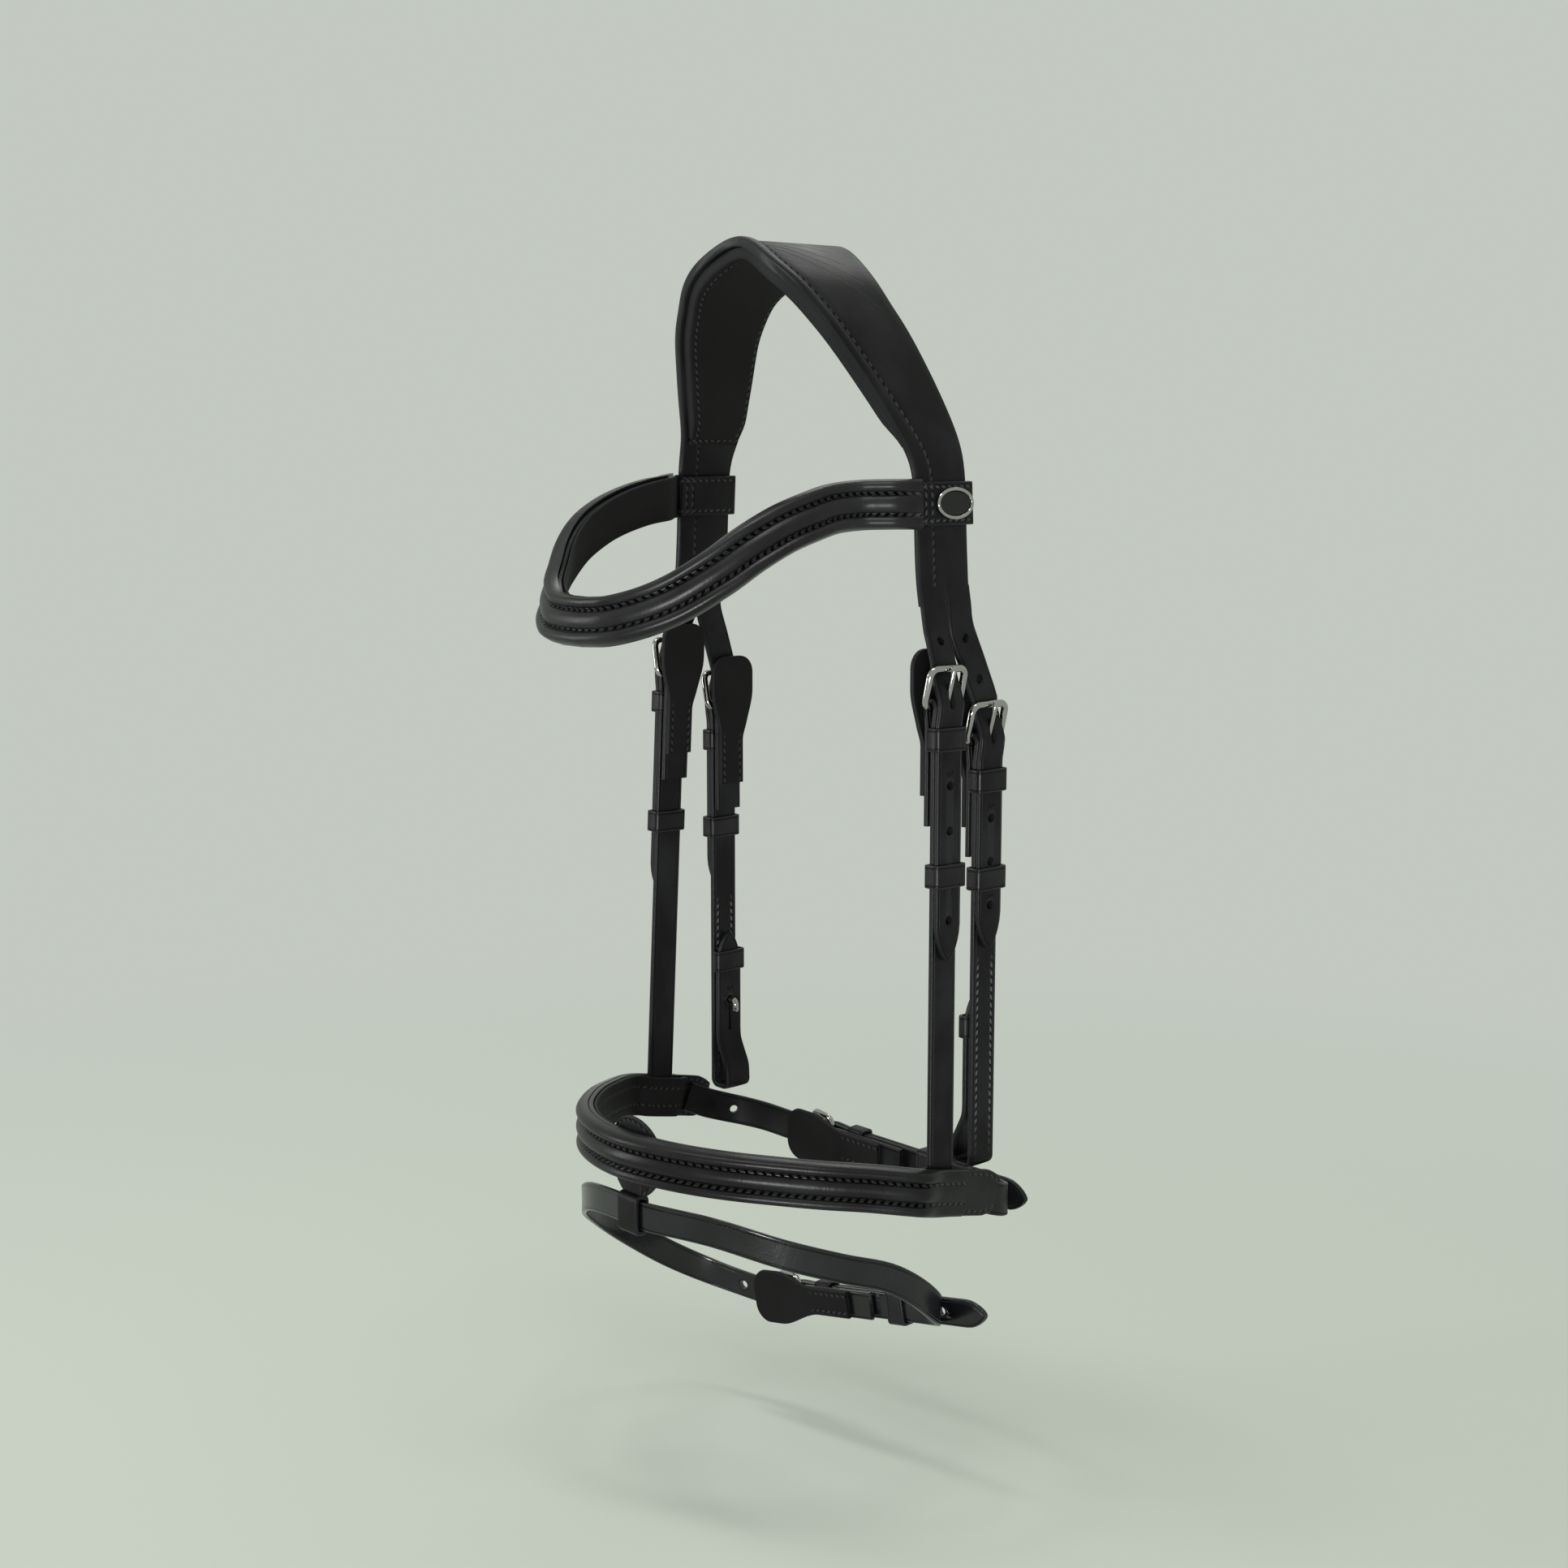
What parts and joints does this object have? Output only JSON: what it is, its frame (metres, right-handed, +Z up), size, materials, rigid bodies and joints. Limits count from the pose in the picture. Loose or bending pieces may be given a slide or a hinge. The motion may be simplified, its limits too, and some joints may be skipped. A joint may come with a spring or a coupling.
{
  "type": "horse bridle",
  "caption": "Leather bridle with padded headpiece, dipped browband, buckled cheekpieces, padded noseband, chin strap and flash strap, with polished steel buckles.",
  "frame": {"origin": "middle of the poll padding's flat underside, where the headpiece rests on the horse's poll", "axes": "+Z up, -Y to the front of the horse's head, +X to the horse's left side, which the picture shows"},
  "size_m": [0.228, 0.2053, 0.5558],
  "materials": {
    "strap_leather": "bridle leather, slight sheen",
    "padded_leather": "soft leather over padding, slight sheen",
    "lining_leather": "matt lining leather",
    "keeper_leather": "dark bridle leather, smooth",
    "stud_steel": "polished stainless steel",
    "buckle_steel": "polished stainless steel",
    "guard_leather": "matt soft leather",
    "concho_rim_steel": "polished stainless steel",
    "concho_plate_lacquer": "black lacquered plate left plain"
  },
  "bodies": {
    "bridle": {"headpiece": "strap_leather", "headpiece_padding": "padded_leather", "noseband_base": "strap_leather", "noseband_padding": "padded_leather", "noseband_lining": "lining_leather", "chin_strap": "strap_leather", "chin_billet": "strap_leather", "flash_tab": "strap_leather", "left_hanger_strap": "strap_leather", "left_cheek_strap": "strap_leather", "left_cheek_bit_keeper": "keeper_leather", "left_cheek_bit_stud": "stud_steel", "right_hanger_strap": "strap_leather", "right_cheek_strap": "strap_leather", "right_cheek_bit_keeper": "keeper_leather", "right_cheek_bit_stud": "stud_steel", "left_hanger_buckle": "buckle_steel", "left_hanger_guard": "guard_leather", "left_hanger_fixed_keeper": "keeper_leather", "right_hanger_buckle": "buckle_steel", "right_hanger_guard": "guard_leather", "right_hanger_fixed_keeper": "keeper_leather", "left_cheek_buckle": "buckle_steel", "left_cheek_guard": "guard_leather", "left_cheek_fixed_keeper": "keeper_leather", "right_cheek_buckle": "buckle_steel", "right_cheek_guard": "guard_leather", "right_cheek_fixed_keeper": "keeper_leather", "chin_buckle": "buckle_steel", "chin_guard": "guard_leather", "chin_fixed_keeper": "keeper_leather"},
    "browband": {"browband_base": "strap_leather", "browband_padding": "padded_leather", "browband_lining": "lining_leather", "concho_rim": "concho_rim_steel", "concho_plate": "concho_plate_lacquer"},
    "flash": {"flash_strap": "strap_leather", "flash_guard": "guard_leather", "flash_buckle": "buckle_steel", "flash_fixed_keeper": "keeper_leather"},
    "left_hanger_tongue": {"left_hanger_tongue": "buckle_steel"},
    "left_hanger_sliding_keeper": {"left_hanger_sliding_keeper": "keeper_leather"},
    "right_hanger_tongue": {"right_hanger_tongue": "buckle_steel"},
    "right_hanger_sliding_keeper": {"right_hanger_sliding_keeper": "keeper_leather"},
    "left_cheek_tongue": {"left_cheek_tongue": "buckle_steel"},
    "left_cheek_sliding_keeper": {"left_cheek_sliding_keeper": "keeper_leather"},
    "right_cheek_tongue": {"right_cheek_tongue": "buckle_steel"},
    "right_cheek_sliding_keeper": {"right_cheek_sliding_keeper": "keeper_leather"},
    "chin_tongue": {"chin_tongue": "buckle_steel"},
    "chin_sliding_keeper": {"chin_sliding_keeper": "keeper_leather"},
    "flash_tongue": {"flash_tongue": "buckle_steel"},
    "flash_sliding_keeper": {"flash_sliding_keeper": "keeper_leather"}
  },
  "joints": [
    {"name": "browband_slide", "type": "slide", "parent": "bridle", "child": "browband", "axis": [0, 0, 1], "range_m": [-0.012, 0.003]},
    {"name": "flash_swing", "type": "hinge", "parent": "bridle", "child": "flash", "pos_m": [0, -0.097, -0.447], "axis": [1, 0, 0], "range_deg": [-5, 5]},
    {"name": "left_hanger_tongue_hinge", "type": "hinge", "parent": "bridle", "child": "left_hanger_tongue", "pos_m": [0.097, 0.0105, -0.204], "axis": [0.0008, 0.9996, -0.0278], "range_deg": [0, 12]},
    {"name": "left_hanger_keeper_slide", "type": "slide", "parent": "bridle", "child": "left_hanger_sliding_keeper", "axis": [-0.0273, 0.0279, 0.9992], "range_m": [-0.02, 0.014]},
    {"name": "right_hanger_tongue_hinge", "type": "hinge", "parent": "bridle", "child": "right_hanger_tongue", "pos_m": [-0.097, 0.0105, -0.204], "axis": [0.0008, -0.9996, 0.0278], "range_deg": [0, 12]},
    {"name": "right_hanger_keeper_slide", "type": "slide", "parent": "bridle", "child": "right_hanger_sliding_keeper", "axis": [0.0273, 0.0279, 0.9992], "range_m": [-0.02, 0.014]},
    {"name": "left_cheek_tongue_hinge", "type": "hinge", "parent": "bridle", "child": "left_cheek_tongue", "pos_m": [0.0938, 0.042, -0.223], "axis": [0, 1, 0], "range_deg": [0, 12]},
    {"name": "left_cheek_keeper_slide", "type": "slide", "parent": "bridle", "child": "left_cheek_sliding_keeper", "axis": [0, 0, 1], "range_m": [-0.014, 0.003]},
    {"name": "right_cheek_tongue_hinge", "type": "hinge", "parent": "bridle", "child": "right_cheek_tongue", "pos_m": [-0.0938, 0.042, -0.223], "axis": [0, -1, 0], "range_deg": [0, 12]},
    {"name": "right_cheek_keeper_slide", "type": "slide", "parent": "bridle", "child": "right_cheek_sliding_keeper", "axis": [0, 0, 1], "range_m": [-0.014, 0.003]},
    {"name": "chin_tongue_hinge", "type": "hinge", "parent": "bridle", "child": "chin_tongue", "pos_m": [-0.033, 0.06395, -0.453], "axis": [0, 0, -1], "range_deg": [0, 12]},
    {"name": "chin_keeper_slide", "type": "slide", "parent": "bridle", "child": "chin_sliding_keeper", "axis": [-1, 0, 0], "range_m": [-0.016, 0.008]},
    {"name": "flash_tongue_hinge", "type": "hinge", "parent": "flash", "child": "flash_tongue", "pos_m": [-0.018, 0.02746, -0.52698], "axis": [0.188, 0.0059, -0.9821], "range_deg": [0, 12]},
    {"name": "flash_keeper_slide", "type": "slide", "parent": "flash", "child": "flash_sliding_keeper", "axis": [-0.9817, -0.031, -0.1881], "range_m": [-0.008, 0.006]}
  ]
}
